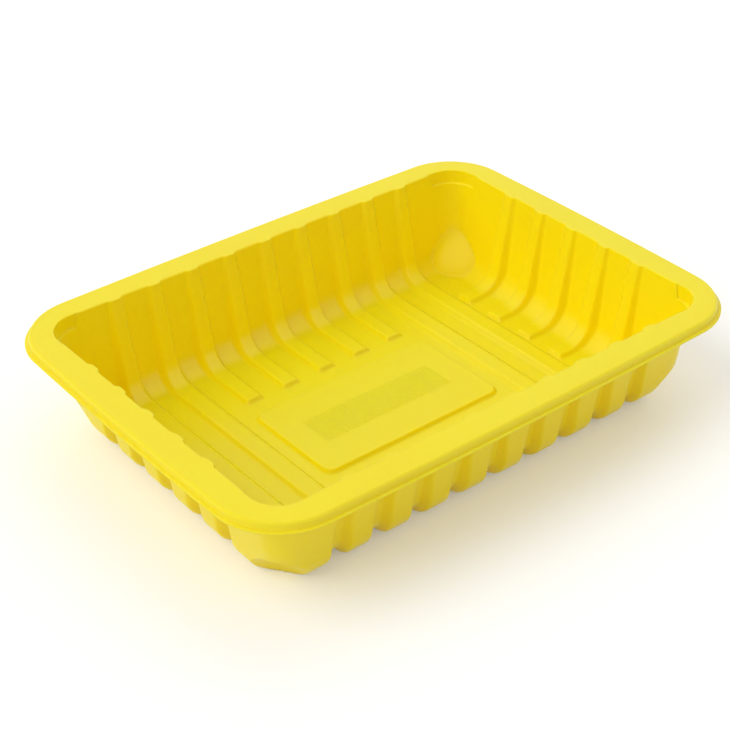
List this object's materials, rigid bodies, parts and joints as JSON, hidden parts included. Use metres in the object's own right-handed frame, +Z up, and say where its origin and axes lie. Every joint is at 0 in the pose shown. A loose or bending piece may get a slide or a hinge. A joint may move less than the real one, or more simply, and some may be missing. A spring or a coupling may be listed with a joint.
{
  "type": "plastic meat tray",
  "caption": "Rectangular thermoformed plastic food tray with ribbed sloping walls, a ridged floor with a raised middle panel and a wide flat rim.",
  "frame": {"origin": "centre of the tray at the underside of its floor", "axes": "+X along the long side, +Y along the short side, +Z up out of the open top"},
  "size_m": [0.2308, 0.1704, 0.0432],
  "materials": {
    "sheet": "gloss"
  },
  "bodies": {
    "root": {"tray": "sheet"}
  },
  "joints": []
}
